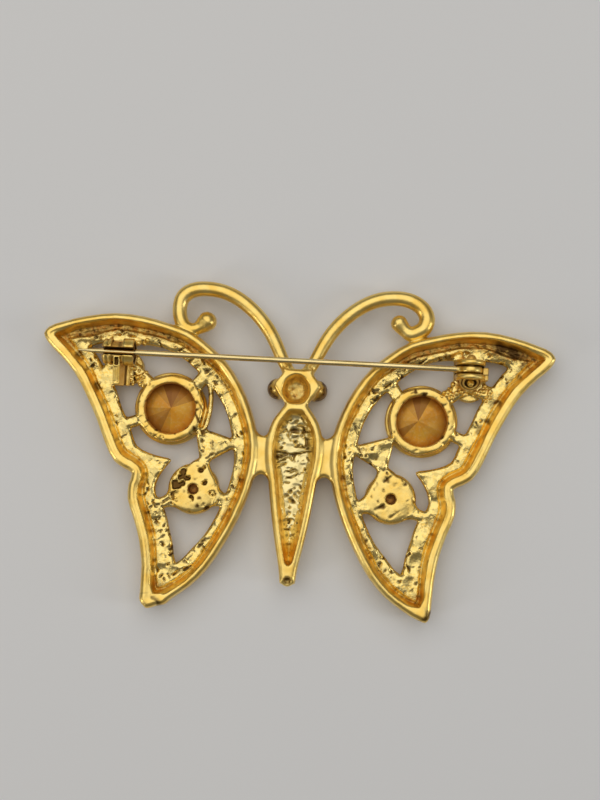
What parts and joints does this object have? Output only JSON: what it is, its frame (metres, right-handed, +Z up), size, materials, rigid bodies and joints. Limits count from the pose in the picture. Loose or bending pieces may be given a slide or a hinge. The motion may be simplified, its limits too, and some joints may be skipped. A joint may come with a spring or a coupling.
{
  "type": "butterfly brooch with a hinged pin",
  "caption": "Butterfly brooch in cast gold-tone metal, lying face down: pierced wings with recessed backs, cupped stones, hollow body, curled antennae, and a hinged pin in a roller catch.",
  "frame": {"origin": "on the table, under the middle of the brooch's bounding box", "axes": "the brooch lies face down: +Z points up out of its back, +X along the wings towards the hinge, +Y from the body towards the antennae"},
  "size_m": [0.072, 0.0462, 0.0074],
  "materials": {
    "cast_gold": "gold-tone plating, bright on the edges and rough in the recesses",
    "finding_gold": "gold-tone plating, tarnished orange-brown in the grooves",
    "pin_wire": "pale gold-tone plated wire, smooth",
    "copper_foiled_glass": "cut glass with a copper-coloured foil behind it",
    "clear_glass": "cut glass with a pale foil behind it"
  },
  "bodies": {
    "brooch": {"casting": "cast_gold", "hinge_bracket": "finding_gold", "hinge_rivet": "finding_gold", "catch_housing": "finding_gold", "big_stone_right": "copper_foiled_glass", "big_stone_left": "copper_foiled_glass", "lower_stone_right": "clear_glass", "lower_stone_left": "clear_glass", "upper_stone_right": "clear_glass", "upper_stone_left": "clear_glass", "eye_stone_right": "clear_glass", "eye_stone_left": "clear_glass"},
    "pin": {"pin_stem": "pin_wire"},
    "roller": {"catch_roller": "finding_gold"}
  },
  "joints": [
    {"name": "pin_hinge", "type": "hinge", "parent": "brooch", "child": "pin", "pos_m": [0.0239, 0.01228, 0.0054], "axis": [0, 1, 0], "range_deg": [0, 110]},
    {"name": "catch_turn", "type": "hinge", "parent": "brooch", "child": "roller", "pos_m": [-0.02509, 0.01228, 0.0054], "axis": [-1, 0, 0], "range_deg": [0, 90]}
  ]
}
